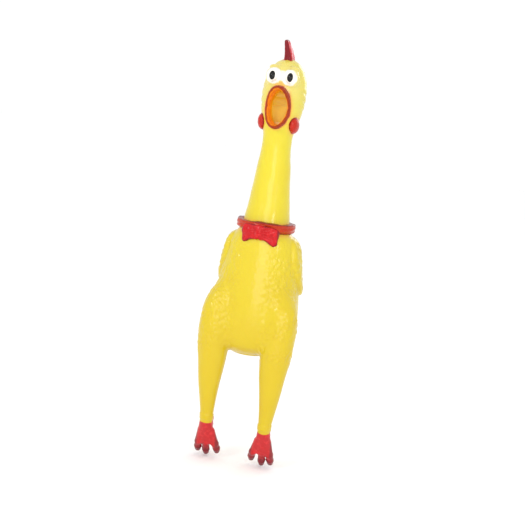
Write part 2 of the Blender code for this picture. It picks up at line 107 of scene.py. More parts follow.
# The left thigh and leg: height, centre x, centre y, half width, half depth.
LEG = [
    (12.0, 18.5, -6.5, 2.0, 4.0),
    (6.0, 20.5, -8.6, 6.6, 8.2),
    (-2.0, 22.6, -11.0, 9.8, 10.6),
    (-16.0, 23.8, -13.3, 11.4, 11.2),
    (-30.0, 23.8, -14.5, 11.4, 10.6),
    (-43.0, 23.2, -14.9, 10.8, 9.2),
    (-52.0, 22.9, -15.0, 9.8, 7.9),
    (-67.0, 22.9, -14.1, 7.8, 6.8),
    (-84.0, 22.3, -12.2, 5.5, 5.2),
    (-93.0, 21.9, -11.3, 4.6, 4.5),
    (-99.0, 21.6, -10.2, 4.4, 4.0),
]
# The wing's outline, as distance round the body from its side, and height.
WING = [
    (-6, 44.5),
    (6, 46),
    (17, 45.5),
    (21.3, 42),
    (22, 30),
    (22.2, 18),
    (21.4, 10.4),
    (17, 6.6),
    (11, 3.8),
    (6, 5.2),
    (0, 11.5),
    (-4.5, 19),
    (-8.5, 28),
    (-8.8, 37),
]
# The comb's outline from the side, as y and height.
COMB = [
    (-4.8, 168),
    (-6.2, 173),
    (-9.8, 183.2),
    (-8.4, 185.0),
    (-4.0, 184.6),
    (1.6, 182.0),
    (4.8, 177.8),
    (7.4, 176.8),
    (11.8, 174.2),
    (13.8, 170.0),
    (16.8, 168.2),
    (19.8, 162),
    (19.4, 155.0),
    (16.5, 153.5),
    (12, 160),
    (4, 167),
]

MOUTH_Z = 137.6
MOUTH_INNER = (6.8, 12.6)
LIP = 2.1
CORNER_Y = -16.7
UPPER_REACH = 9.2
LOWER_REACH = 6.2
POCKET_Y = -12.7
POCKET_DEPTH = 14.0
POCKET_WALL = 1.2
EYE = (6.3, -14.2, 158.9)
EYE_HALF = (5.1, 5.9, 5.6)
LOBE = (11.0, -6.6, 126.4)
LOBE_HALF = (3.9, 7.4, 5.8)
LOBE_TILT = -22
PUPIL_HALF = (2.15, 3.2)
BEAK_ROOT_Y = -12.4
MOUTH_BACK_Y = -7.0
THROAT_Y = -2.4
THROAT_LOW = 109.6
THROAT_TOP = 131
THROAT_BORE = 6.2
THROAT_OUTER = 7.4
ANKLE_Z = -86.0
PAINT_LINE_Z = -96.4
HIP_Z = -42.6
COLLAR_Z = 52.0
NECK_CUTS = (70.5, 88.5)

# -------------------- fields


def mirrored(p):
    """Points moved to the left half, where the shapes that come in pairs are described."""
    return np.stack([np.abs(p[:, 0]), p[:, 1], p[:, 2]], 1)


def curve_through(keys, at):
    """An outline table's values at many heights, on a smooth curve through its rows."""
    rows = np.array(sorted(keys), float)
    z, values = rows[:, 0], rows[:, 1:]
    slopes = np.gradient(values, z, axis=0)
    at = np.clip(at, z[0], z[-1])
    i = np.clip(np.searchsorted(z, at, side="right") - 1, 0, len(z) - 2)
    span = (z[i + 1] - z[i])[:, None]
    t = (at - z[i])[:, None] / span
    low = (2 * t**3 - 3 * t**2 + 1) * values[i] + (t**3 - 2 * t**2 + t) * span * slopes[i]
    high = (3 * t**2 - 2 * t**3) * values[i + 1] + (t**3 - t**2) * span * slopes[i + 1]
    return (low + high).T


def from_ellipse(x, y, half_x, half_y):
    """Roughly how far level points are outside an ellipse round the origin."""
    near = np.sqrt((x / half_x) ** 2 + (y / half_y) ** 2)
    steep = np.sqrt((x / half_x**2) ** 2 + (y / half_y**2) ** 2)
    return near * (near - 1) / np.maximum(steep, 1e-6)


def from_ellipsoid(p, centre, half, tilt=0.0):
    """Roughly how far points are outside an ellipsoid that is tilted about X by some degrees."""
    q = p - np.array(centre)
    if tilt:
        c, s = math.cos(math.radians(tilt)), math.sin(math.radians(tilt))
        q = np.stack([q[:, 0], c * q[:, 1] + s * q[:, 2], c * q[:, 2] - s * q[:, 1]], 1)
    half = np.array(half, float)
    near = np.linalg.norm(q / half, axis=1)
    steep = np.linalg.norm(q / half**2, axis=1)
    return near * (near - 1) / np.maximum(steep, 1e-6)


def joined(a, b, fillet):
    """The union of two fields, with a fillet where they meet."""
    h = np.maximum(fillet - np.abs(a - b), 0) / fillet
    return np.minimum(a, b) - h * h * fillet / 4


def cut(a, b, fillet):
    """What two fields have in common, with the edge between them rounded."""
    return -joined(-a, -b, fillet)


def from_limb(p, points, fillet=1.0):
    """How far points are outside a chain of tapered rods. Each point is a place and a radius."""
    nearest = None
    for (start, r0), (end, r1) in zip(points, points[1:]):
        start, along = np.array(start, float), np.array(end, float) - np.array(start, float)
        t = np.clip((p - start) @ along / (along @ along), 0, 1)
        away = np.linalg.norm(p - start - t[:, None] * along, axis=1) - (r0 + (r1 - r0) * t)
        nearest = away if nearest is None else joined(nearest, away, fillet)
    return nearest


def rounded_outline(points, steps=4):
    """A closed outline through these points, as a Catmull-Rom curve."""
    found = []
    for n in range(len(points)):
        p = [np.array(points[(n + k) % len(points)], float) for k in (-1, 0, 1, 2)]
        for t in np.arange(steps) / steps:
            bend = 2 * p[0] - 5 * p[1] + 4 * p[2] - p[3]
            twist = 3 * (p[1] - p[2]) + p[3] - p[0]
            found.append((2 * p[1] + (p[2] - p[0]) * t + bend * t**2 + twist * t**3) / 2)
    return np.array(found)


def from_outline(u, v, outline):
    """How far flat points are outside a closed outline."""
    here = np.stack([u, v], 1)
    nearest = np.full(len(u), 1e9)
    inside = np.zeros(len(u), bool)
    for a, b in zip(outline, np.roll(outline, -1, axis=0)):
        along = b - a
        off = here - a
        t = np.clip(off @ along / (along @ along), 0, 1)
        nearest = np.minimum(nearest, np.linalg.norm(off - t[:, None] * along, axis=1))
        between = (a[1] <= v) != (b[1] <= v)
        if along[1]:
            inside ^= between & (u < a[0] + (v - a[1]) * along[0] / along[1])
    return np.where(inside, -nearest, nearest)


WING_CURVE = rounded_outline(WING)
COMB_CURVE = rounded_outline(COMB)


def trunk(p):
    """The body, neck and head."""
    half, front, back = curve_through(TRUNK, p[:, 2])
    round_it = from_ellipse(p[:, 0], p[:, 1] - (front + back) / 2, half, (back - front) / 2)
    ends = np.maximum(TRUNK[0][0] - p[:, 2], p[:, 2] - TRUNK[-1][0])
    return np.maximum(round_it, ends)


def legs(p):
    """Both thighs and legs, down to the ankles."""
    x, y, half_x, half_y = curve_through(LEG, p[:, 2])
    shape = from_ellipse(np.abs(p[:, 0]) - x, p[:, 1] - y, half_x, half_y)
    return np.maximum(shape, p[:, 2] - LEG[0][0])


def round_body(p):
    """Distance round the body from its side towards the back, at about the wing's radius."""
    return 25.0 * np.arctan2(p[:, 1] - 1.5, np.abs(p[:, 0]))


def wings(p, off_body):
    """Flaps that lie on the sides of the body and stand off it most at their rear edges."""
    around = round_body(p)
    edge = np.full(len(p), 20.0)
    close = (p[:, 2] > -2) & (p[:, 2] < 54) & (off_body < 9) & (off_body > -6)
    edge[close] = from_outline(around[close], p[close, 2], WING_CURVE)
    lift = 1.8 + 1.2 * np.clip((around + 4) / 24, 0, 1) + 0.3 * np.clip((44 - p[:, 2]) / 36, 0, 1)
    return cut(edge, off_body - lift, 2.2)


def mouth_hole(p):
    """The oval opening between the halves of the beak."""
    inner_x, inner_z = MOUTH_INNER
    oval = from_ellipse(p[:, 0], p[:, 2] - MOUTH_Z, inner_x + LIP * 0.6, inner_z + LIP * 0.6)
    return np.maximum(oval, p[:, 1] - MOUTH_BACK_Y)


def skin(p):
    """The whole yellow casting down to the ankles."""
    body = trunk(p)
    made = joined(body, legs(p), 6.0)
    made = joined(made, wings(p, body), 1.1)
    half = mirrored(p)
    tail = from_ellipsoid(half, (4.0, 30.8, -23.8), (4.9, 5.0, 5.8), tilt=-35)
    tail = joined(tail, from_ellipsoid(p, (0, 31.9, -25.4), (4.8, 4.2, 4.4), tilt=-35), 0.8)
    made = joined(made, tail, 2.2)
    brow = from_ellipsoid(half, (6.8, -11.0, 164.8), (4.0, 2.8, 2.0), tilt=-30)
    made = joined(made, brow, 2.4)
    made = joined(made, from_ellipsoid(half, EYE, (5.7, 5.0, 6.1)), 2.5)
    ridge = from_limb(p, [((0, -12.5, 158.5), 2.6), ((0, -15.4, 151.5), 3.4)])
    made = joined(made, ridge, 3.2)
    return cut(made, -mouth_hole(p), 1.0)


# -------------------- meshes from fields


def surface_net(field, low, high, cell):
    """Quads round the surface where a field is zero, with one vertex in each cell that it crosses."""
    low = np.array(low, float)
    counts = np.ceil((np.array(high, float) - low) / cell).astype(int) + 1
    steps = np.stack(np.meshgrid(*[np.arange(n) for n in counts], indexing="ij"), -1)
    inside = (field(low + cell * steps.reshape(-1, 3)) < 0).reshape(counts)
    n = counts - 1
    corners = [(i, j, k) for i in (0, 1) for j in (0, 1) for k in (0, 1)]
    total = sum(inside[i : i + n[0], j : j + n[1], k : k + n[2]].astype(int) for i, j, k in corners)
    crossed = (total > 0) & (total < 8)
    index = np.full(crossed.shape, -1)
    index[crossed] = np.arange(crossed.sum())
    points = low + cell * (np.argwhere(crossed) + 0.5)
    faces = []
    for axis in range(3):
        u, v = (axis + 1) % 3, (axis + 2) % 3
        rear = np.take(inside, range(n[axis]), axis)
        fore = np.take(inside, range(1, counts[axis]), axis)
        edges = np.argwhere(rear != fore)
        kept = (edges[:, u] > 0) & (edges[:, v] > 0) & (edges[:, u] < n[u]) & (edges[:, v] < n[v])
        edges = edges[kept]
        ring = []
        for du, dv in ((-1, -1), (0, -1), (0, 0), (-1, 0)):
            near = edges.copy()
            near[:, u] += du
            near[:, v] += dv
            ring.append(index[tuple(near.T)])
        ring = np.stack(ring, 1)
        outward = rear[tuple(edges.T)]
        faces.append(np.where(outward[:, None], ring, ring[:, ::-1]))
    return points, np.concatenate(faces)


def slope(field, p, step=0.04):
    """The field's gradient."""
    found = []
    for axis in range(3):
        move = np.zeros(3)
        move[axis] = step
        found.append((field(p + move) - field(p - move)) / (2 * step))
    return np.stack(found, 1)


def settled(p, field, rounds=2):
    """The points moved on to the surface where the field is zero."""
    for _ in range(rounds):
        way = slope(field, p)
        size = np.maximum((way * way).sum(1), 0.05)
        p = p - way * np.clip(field(p) / size, -0.8, 0.8)[:, None]
    return p


def relaxed(p, faces):
    """Each point moved half-way to the middle of its neighbours."""
    total = np.zeros_like(p)
    count = np.zeros(len(p))
    for n in range(4):
        a, b = faces[:, n], faces[:, (n + 1) % 4]
        for here, there in ((a, b), (b, a)):
            for axis in range(3):
                total[:, axis] += np.bincount(here, p[there, axis], len(p))
            count += np.bincount(here, minlength=len(p))
    return (p + total / np.maximum(count, 1)[:, None]) / 2


def subdivided(p, faces):
    """The quads split in four by one level of subdivision."""
    mesh = bpy.data.meshes.new("coarse")
    mesh.from_pydata(p.tolist(), [], faces.tolist())
    obj = bpy.data.objects.new("coarse", mesh)
    bpy.context.scene.collection.objects.link(obj)
    step = obj.modifiers.new("Subdivision", "SUBSURF")
    step.levels = 1
    bpy.context.view_layer.update()
    made = obj.evaluated_get(bpy.context.evaluated_depsgraph_get()).to_mesh()
    p = np.zeros(len(made.vertices) * 3, np.float32)
    made.vertices.foreach_get("co", p)
    faces = np.zeros(len(made.loops), np.int32)
    made.loops.foreach_get("vertex_index", faces)
    bpy.data.objects.remove(obj)
    bpy.data.meshes.remove(mesh)
    return p.reshape(-1, 3).astype(float), faces.reshape(-1, 4)


def fine_surface(field, low, high, cell, relief=None):
    """A fine mesh of a field's surface, with relief in millimetres raised on it."""
    p, faces = surface_net(field, low, high, cell)
    for _ in range(2):
        p = settled(relaxed(p, faces), field)
    p, faces = subdivided(p, faces)
    p = settled(p, field)
    if relief is not None:
        way = slope(field, p)
        way /= np.maximum(np.linalg.norm(way, axis=1), 1e-6)[:, None]
        p = p + way * relief(p)[:, None]
    return p, faces


def vertex_normals(p, faces):
    """Smooth normals of a quad mesh."""
    across = np.cross(p[faces[:, 2]] - p[faces[:, 0]], p[faces[:, 3]] - p[faces[:, 1]])
    total = np.zeros_like(p)
    for n in range(4):
        for axis in range(3):
            total[:, axis] += np.bincount(faces[:, n], across[:, axis], len(p))
    return total / np.maximum(np.linalg.norm(total, axis=1), 1e-12)[:, None]


def piece(name, p, faces, material, masks=None, normals=None):
    """An object from points in millimetres. Masks are named values that the material reads."""
    if normals is None:
        normals = vertex_normals(p, faces)
    used, flat = np.unique(faces, return_inverse=True)
    mesh = bpy.data.meshes.new(name)
    mesh.from_pydata((p[used] * MM).tolist(), [], flat.reshape(faces.shape).tolist())
    mesh.shade_smooth()
    rest = mesh.attributes.new("rest", "FLOAT_VECTOR", "POINT")
    rest.data.foreach_set("vector", p[used].astype(np.float32).ravel())
    for key, values in (masks or {}).items():
        made = mesh.attributes.new(key, "FLOAT", "POINT")
        made.data.foreach_set("value", values[used].astype(np.float32))
    mesh.normals_split_custom_set_from_vertices(normals[used].tolist())
    mesh.materials.append(material)
    obj = bpy.data.objects.new(name, mesh)
    bpy.context.scene.collection.objects.link(obj)
    return obj


def stands_for(obj, slot, *nodes):
    """Hides the CAD nodes that a piece replaces. Its material's slot is not used."""
    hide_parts(*nodes)
    return obj


# -------------------- relief


def smooth_step(value, low, high):
    """A share that rises smoothly from 0 at the low value to 1 at the high one."""
    t = np.clip((value - low) / (high - low), 0, 1)
    return t * t * (3 - 2 * t)


def scattered(whole, salt):
    """A number from 0 to 1 for each lattice point, that looks random and is always the same."""
    mixed_up = whole.astype(np.int64) @ np.array([73856093, 19349663, 83492791]) + salt * 97531
    mixed_up = (mixed_up ^ (mixed_up >> 13)) * 1274126177
    mixed_up = (mixed_up ^ (mixed_up >> 16)) * 668265263
    return ((mixed_up >> 11) & 0xFFFFF) / 0xFFFFF


def lumps_of(p, size, stretch=(1, 1, 1), reach=0.75):
    """Rounded lumps round scattered points, from 0 between them to 1 at their middles."""
    q = p / (size * np.array(stretch))
    whole = np.floor(q)
    nearest = np.full(len(q), 9.0)
    for step in np.ndindex(3, 3, 3):
        corner = whole + np.array(step) - 1
        spot = corner + np.stack([scattered(corner, salt) for salt in (1, 2, 3)], 1)
        nearest = np.minimum(nearest, ((q - spot) ** 2).sum(1))
    return np.clip(1 - np.sqrt(nearest) / reach, 0, 1)


def cloud_noise(p, size):
    """Smooth noise from -1 to 1."""
    q = p / size
    whole = np.floor(q)
    t = q - whole
    t = t * t * (3 - 2 * t)
    found = np.zeros(len(q))
    for step in np.ndindex(2, 2, 2):
        near = np.array(step)
        share = np.prod(np.where(near, t, 1 - t), axis=1)
        found += share * scattered(whole + near, 7)
    return 2 * found - 1


def goose_bumps(p):
    """Bumps in patches on the sides of the body and the thighs, and faint ones on the breast."""
    x, y, z = np.abs(p[:, 0]), p[:, 1], p[:, 2]
    q = p + 0.9 * np.stack([cloud_noise(p + shift, 4.0) for shift in (0, 31, 67)], 1)
    lumps = lumps_of(q, 2.7, (1, 1, 1.3)) ** 0.8
    patches = smooth_step(cloud_noise(q + 40, 11.0), -0.4, 0.2)
    side = smooth_step(x, 4, 15) * smooth_step(-y, -14, 6)
    front = smooth_step(-y, 4, 16)
    heights = smooth_step(z, -52, -34) * (1 - smooth_step(z, 40, 47))
    return lumps * heights * (0.6 * side * (0.2 + 0.8 * patches) + 0.12 * front)


def wing_feathers(p):
    """Short feathers in rows on the wings, which are plainer towards their rear edges."""
    around, z = round_body(p), p[:, 2]
    warp = 1.6 * cloud_noise(p + 11, 5.0)
    row = (0.55 * around + z + warp) / 6.0
    across = (around - 0.55 * z + warp) / 4.8 + 0.5 * np.floor(row)
    part = row - np.floor(row) - 0.5 * (2 * np.abs(across - np.floor(across) - 0.5)) ** 2
    scale = np.clip(1.15 - np.mod(part, 1.0), 0, 1)
    bumps = lumps_of(p + 5, 3.3, (1, 1.5, 1)) ** 0.8
    on_wing = smooth_step(-from_outline(around, z, WING_CURVE), 0.6, 3.0)
    plain = smooth_step(around, 8, 15)
    return (0.42 * scale + 0.5 * bumps) * on_wing * (1 - 0.85 * plain)


def cheek_lines(p):
    """Three wavy furrows on each cheek, each with a low ridge above it."""
    cheek = smooth_step(p[:, 1], -13, -7) * (1 - smooth_step(p[:, 1], 4, 11))
    wave = p[:, 2] + 1.0 * np.sin(p[:, 1] / 4.5) + 0.12 * p[:, 1]
    raised = np.zeros(len(p))
    for line in (137.5, 143.0, 148.5):
        raised -= 0.3 * cheek * np.exp(-(((wave - line) / 0.8) ** 2))
        raised += 0.17 * cheek * np.exp(-(((wave - line - 2.2) / 1.6) ** 2))
    return raised


def skin_relief(p):
    """Slight unevenness all over, and the bumps, feathers and furrows where they belong."""
    z, around = p[:, 2], round_body(p)
    neck = smooth_step(z, 56, 66) * (1 - smooth_step(z, 108, 120))
    raised = 0.05 * cloud_noise(p, 9.0) + 0.16 * cloud_noise(p + 80, 6.5) * neck
    body = (z > HIP_Z - 20) & (z < 50)
    raised[body] += goose_bumps(p[body])
    wing = (z > 0) & (z < 50) & (around > -16) & (around < 27)
    raised[wing] += wing_feathers(p[wing])
    head = z > 112
    raised[head] += cheek_lines(p[head])
    return raised


# -------------------- materials


def shader_of(name, roughness, coat=0.0, subsurface=0.0, ior=1.42):
    """A soft, slightly translucent plastic. Returns the material and its shader."""
    material = bpy.data.materials.new(name)
    material.use_nodes = True
    shader = material.node_tree.nodes["Principled BSDF"]
    shader.inputs["Roughness"].default_value = roughness
    shader.inputs["Metallic"].default_value = 0.0
    shader.inputs["IOR"].default_value = ior
    shader.inputs["Coat Weight"].default_value = coat
    shader.inputs["Coat Roughness"].default_value = 0.12
    shader.inputs["Subsurface Weight"].default_value = subsurface
    shader.inputs["Subsurface Radius"].default_value = (1.0, 0.5, 0.2)
    shader.inputs["Subsurface Scale"].default_value = 0.002
    return material, shader


def new_node(material, kind):
    return material.node_tree.nodes.new(kind)


def link(material, start, end):
    material.node_tree.links.new(start, end)


def attribute(material, name, kind="Fac"):
    """A value that the mesh carries at its points, as a node's output."""
    node = new_node(material, "ShaderNodeAttribute")
    node.attribute_name = name
    return node.outputs[kind]


def speckle(material, size, detail=2.0):
    """Noise that stays on the skin when it bends, because it reads where each point was at rest."""
    node = new_node(material, "ShaderNodeTexNoise")
    node.inputs["Scale"].default_value = 1.0 / size
    node.inputs["Detail"].default_value = detail
    link(material, attribute(material, "rest", "Vector"), node.inputs["Vector"])
    return node.outputs["Fac"]


def ramp(material, value, stops):
    node = new_node(material, "ShaderNodeValToRGB")
    while len(node.color_ramp.elements) < len(stops):
        node.color_ramp.elements.new(0.5)
    for element, (place, colour) in zip(node.color_ramp.elements, stops):
        element.position = place
        element.color = (*colour, 1.0)
    link(material, value, node.inputs["Fac"])
    return node.outputs["Color"]


def mixed(material, share, first, second):
    """Two colours mixed. Either colour, or the share, is a number or a node's output."""
    node = new_node(material, "ShaderNodeMix")
    node.data_type = "RGBA"
    for socket, value in ((0, share), (6, first), (7, second)):
        if isinstance(value, bpy.types.NodeSocket):
            link(material, value, node.inputs[socket])
        elif socket:
            node.inputs[socket].default_value = (*value, 1.0)
        else:
            node.inputs[socket].default_value = value
    return node.outputs[2]


def scaled(material, value, low, high):
    """A value from 0 to 1 moved to another range."""
    node = new_node(material, "ShaderNodeMapRange")
    node.inputs["To Min"].default_value = low
    node.inputs["To Max"].default_value = high
    link(material, value, node.inputs["Value"])
    return node.outputs["Result"]


def bumped(material, shader, value, height_mm, strength):
    node = new_node(material, "ShaderNodeBump")
    node.inputs["Strength"].default_value = strength
    node.inputs["Distance"].default_value = height_mm * MM
    link(material, value, node.inputs["Height"])
    link(material, node.outputs["Normal"], shader.inputs["Normal"])


YELLOW = (0.615, 0.45, 0.0)
# Painted light: a paler yellow for the top of the toy.
YELLOW_TOP_LIT = (0.70, 0.60, 0.02)
# Painted light: a paler, creamier yellow for the front of the head.
YELLOW_FRONT_LIT = (0.72, 0.62, 0.16)
# A deeper yellow for tone that differs at random, and for painted shade on the relief.
YELLOW_DEEP_AND_SHADE = (0.55, 0.34, 0.0)
ORANGE = (0.88, 0.36, 0.04)
RED = (0.49, 0.003, 0.006)
# Painted shade for the edges of the red pieces.
RED_SHADE = (0.15, 0.003, 0.009)
RED_LIGHT = (0.62, 0.012, 0.016)
RED_WARM = (0.45, 0.034, 0.0)
# Painted highlight: a paler pink for the middle of the comb.
HIGHLIGHT_PINK = (0.62, 0.05, 0.09)
WHITE = (0.90, 0.88, 0.82)
WHITE_WARM = (0.84, 0.81, 0.7)
BEAK_DEEP = (0.24, 0.022, 0.0)
BEAK_RED = (0.33, 0.036, 0.0)
BEAK_LIGHT = (0.41, 0.046, 0.0)
BEAK_INSIDE = (0.95, 0.30, 0.015)
BEAK_EDGE = (0.30, 0.010, 0.022)
LINING_RIM = (1.0, 0.34, 0.02)
LINING_MIDDLE = (0.95, 0.52, 0.01)
LINING_END = (0.88, 0.56, 0.0)
BLACK = (0.002, 0.002, 0.002)
BLACK_WORN = (0.009, 0.008, 0.009)


def red_of(material):
    """Red paint that is thinner and lighter in places."""
    clouds = speckle(material, 3.2)
    return ramp(material, clouds, [(0.5, RED), (0.72, RED_LIGHT)])


def vinyl_material():
    """Yellow vinyl with the paints that lie on it, and painted light and shade."""
    material, shader = shader_of("yellow_vinyl", 0.33, coat=0.32, subsurface=0.08)
    # Painted light: the vinyl is paler towards the top, from the tone mask.
    base = mixed(material, attribute(material, "tone"), YELLOW, YELLOW_TOP_LIT)
    # Painted light: paler and creamier on the front of the upper neck and head.
    base = mixed(material, attribute(material, "painted_front_light"), base, YELLOW_FRONT_LIT)
    clouds = scaled(material, speckle(material, 16.0, 3.0), -0.12, 0.3)
    base = mixed(material, clouds, base, YELLOW_DEEP_AND_SHADE)
    # Painted shade: darker on the slopes of the skin's relief, from the hollow mask.
    base = mixed(material, attribute(material, "hollow"), base, YELLOW_DEEP_AND_SHADE)
    base = mixed(material, attribute(material, "blush"), base, ORANGE)
    base = mixed(material, attribute(material, "white"), base, WHITE)
    red = red_of(material)
    # Painted shade on the feet: darker at the toe tips and along their sides.
    red = mixed(material, attribute(material, "painted_shade"), red, RED_SHADE)
    base = mixed(material, attribute(material, "red"), base, red)
    link(material, base, shader.inputs["Base Color"])
    fine = speckle(material, 0.9)
    link(material, scaled(material, fine, 0.24, 0.4), shader.inputs["Roughness"])
    bumped(material, shader, speckle(material, 1.6, 3.0), 0.12, 0.6)
    return material


def paint_material():
    """Red paint that runs to warm, with a pink painted highlight and a dark red painted shade."""
    material, shader = shader_of("red_paint", 0.36, coat=0.05, ior=1.34)
    red = red_of(material)
    red = mixed(material, attribute(material, "warm"), red, RED_WARM)
    # Painted highlight: paler pink in the middle of the comb.
    red = mixed(material, attribute(material, "painted_highlight"), red, HIGHLIGHT_PINK)
    # Painted shade: darker at the edges of the red pieces and where they meet the skin.
    base = mixed(material, attribute(material, "painted_shade"), red, RED_SHADE)
    link(material, base, shader.inputs["Base Color"])
    fine = speckle(material, 0.8)
    link(material, scaled(material, fine, 0.18, 0.36), shader.inputs["Roughness"])
    bumped(material, shader, speckle(material, 1.3, 3.0), 0.14, 0.7)
    return material


def beak_material():
    """Red paint that was sprayed over orange, so that it is thin towards the inside of the mouth."""
    material, shader = shader_of("beak_paint", 0.42, ior=1.3)
    clouds = speckle(material, 3.0)
    red = ramp(material, clouds, [(0.3, BEAK_DEEP), (0.55, BEAK_RED), (0.75, BEAK_LIGHT)])
    base = mixed(material, attribute(material, "inner"), red, BEAK_INSIDE)
    base = mixed(material, attribute(material, "outer"), base, BEAK_EDGE)
    link(material, base, shader.inputs["Base Color"])
    bumped(material, shader, speckle(material, 1.2, 3.0), 0.12, 0.6)
    return material


def lining_material():
    """The inside of the mouth, orange at its rim and yellow at its end."""
    material, shader = shader_of("mouth_lining", 0.5, subsurface=0.15, ior=1.2)
    depth = attribute(material, "depth")
    base = ramp(material, depth, [(0.0, LINING_RIM), (0.3, LINING_MIDDLE), (0.8, LINING_END)])
    link(material, base, shader.inputs["Base Color"])
    bumped(material, shader, speckle(material, 1.8, 3.0), 0.15, 0.6)
    return material


def eye_material():
    material, shader = shader_of("eye_white", 0.2, coat=0.6)
    clouds = speckle(material, 4.0)
    tone = ramp(material, clouds, [(0.3, WHITE_WARM), (0.7, WHITE)])
    link(material, tone, shader.inputs["Base Color"])
    bumped(material, shader, speckle(material, 1.5), 0.05, 0.5)
    return material


def pupil_material():
    material, shader = shader_of("pupil_black", 0.22, ior=1.35)
    spots = speckle(material, 1.5)
    tone = ramp(material, spots, [(0.3, BLACK), (0.8, BLACK_WORN)])
    link(material, tone, shader.inputs["Base Color"])
    bumped(material, shader, speckle(material, 0.9), 0.04, 0.5)
    return material


def plastic_material(name, low, high, roughness, alpha=1.0):
    """The squawker's plastics. They read object coordinates, because its parts are rigid."""
    material, shader = shader_of(name, roughness)
    place = new_node(material, "ShaderNodeTexCoord").outputs["Object"]
    grain = new_node(material, "ShaderNodeTexNoise")
    grain.inputs["Scale"].default_value = 900.0
    link(material, place, grain.inputs["Vector"])
    tone = ramp(material, grain.outputs["Fac"], [(0.35, low), (0.65, high)])
    link(material, tone, shader.inputs["Base Color"])
    bumped(material, shader, grain.outputs["Fac"], 0.03, 0.6)
    shader.inputs["Alpha"].default_value = alpha
    return material


VINYL = vinyl_material()
PAINT = paint_material()
BEAK = beak_material()
LINING = lining_material()
EYE_WHITE = eye_material()
PUPIL = pupil_material()
MOULDED = plastic_material("squawker_plastic", (0.80, 0.60, 0.20), (0.88, 0.70, 0.28), 0.4)
FILM = plastic_material("reed_film", (0.7, 0.74, 0.78), (0.78, 0.8, 0.83), 0.12, alpha=0.8)

# -------------------- skin


def white_paint(p, ragged):
    """The white round both eyes, and the thinner white between them."""
    eye = from_ellipsoid(mirrored(p), (5.7, -15.5, 158.9), (5.5, 7.0, 5.6))
    eye = np.maximum(eye, p[:, 1] + 12.4)
    between = from_ellipsoid(p, (0, -16.0, 159.6), (6.6, 8.0, 3.6))
    full = 1 - smooth_step(eye + ragged, -0.5, 0.7)
    thin = 0.8 - smooth_step(between, -0.8, 1.2)
    return np.maximum(full, thin).clip(0, 1)


def red_paint(p, ragged, off_beak, off_lobe):
    """The red round the beak, under the comb and the ear lobes, and on the ankles."""
    rim = (1 - smooth_step(off_beak + ragged, 0.0, 1.0)) * (p[:, 1] < -8)
    crown = from_outline(p[:, 1], p[:, 2], COMB_CURVE)
    off_comb = np.maximum(crown, np.abs(p[:, 0]) - comb_half(p))
    comb_foot = 1 - smooth_step(off_comb + ragged, 0.2, 0.7)
    lobe_foot = 1 - smooth_step(off_lobe + ragged, 0.1, 0.6)
    return np.maximum.reduce([rim, comb_foot, lobe_foot, foot_paint(p)])


def orange_blush(p, ragged, off_beak, off_lobe, mouth):
    """The orange glow next to what is red: the beak, the mouth, the ear lobes and the collar."""
    top = from_ellipsoid(p, (0, -18.0, 151.6), (4.6, 7.0, 4.6))
    halo = 1 - smooth_step(np.minimum(off_beak - 1.0, top) + ragged, -1.0, 1.6)
    off_collar = np.abs(p[:, 2] - COLLAR_Z + 0.3) - 4.2
    by_collar = 1 - smooth_step(off_collar + ragged, 0.0, 1.5)
    by_lobe = 1 - smooth_step(off_lobe - 0.3, 0.2, 1.8)
    past_lobe = 1 - smooth_step(off_lobe + ragged, 0.6, 4.5)
    by_beak = 1.6 * halo * (p[:, 1] < -8)
    return 0.35 * np.maximum.reduce([by_collar, by_lobe, by_beak, 0.5 * past_lobe, 0.6 * mouth])


def skin_masks(p, normals, smooth_normals):
    """How much painted shade on the relief, white, red, orange, painted light towards the top and
    painted light on the front of the head each point of the skin has.
    """
    ragged = 0.35 * cloud_noise(p, 2.5)
    half_x, half_z = MOUTH_INNER
    off_beak = from_ellipse(p[:, 0], p[:, 2] - MOUTH_Z, half_x + LIP, half_z + LIP)
    off_lobe = from_ellipsoid(mirrored(p), LOBE, LOBE_HALF, tilt=LOBE_TILT)
    off_mouth = from_ellipse(p[:, 0], p[:, 2] - MOUTH_Z, half_x + 1.5, half_z + 1.5)
    mouth = (off_mouth < 0) * (p[:, 1] > -14.5) * (p[:, 1] < 0)
    # Painted shade: the skin is darker where its relief tilts away from the smooth surface, on the
    # sides of bumps, feathers and furrows.
    unshaded = np.clip((normals * smooth_normals).sum(1), 0, 1)
    hollow = np.clip(1.6 * (1 - unshaded), 0, 0.4)
    # Painted light: the front of the upper neck and head is made paler and creamier.
    high = smooth_step(p[:, 2] + 3 * cloud_noise(p + 9, 9.0), 118, 160)
    painted_front_light = high * smooth_step(-p[:, 1], 0, 14)
    return {
        "hollow": hollow * (1 - mouth),
        "white": white_paint(p, ragged),
        "red": red_paint(p, ragged, off_beak, off_lobe),
        "blush": orange_blush(p, ragged, off_beak, off_lobe, mouth),
        # Painted light: paler towards the top.
        "tone": smooth_step(p[:, 2], -60, 130),
        "painted_front_light": painted_front_light * (1 - mouth),
    }


def foot_paint(p):
    """Where the feet's red paint covers the ankles. Its edge is higher at the heel."""
    ragged = 0.5 * cloud_noise(p, 2.2)
    heel_rise = 2.1 * np.maximum(p[:, 1] + 12.4, 0)
    line = p[:, 2] - PAINT_LINE_Z - heel_rise
    return (1 - smooth_step(line + ragged, -0.35, 0.35)) * (p[:, 2] < -70)


def comb_half(p):
    """Half the comb's thickness: thick at the front of its base, thin at its edge and at the nape."""
    up = smooth_step(p[:, 2], 168, 186)
    rear = smooth_step(p[:, 1], -6, 16)
    return 2.9 - 1.5 * up - 1.1 * rear


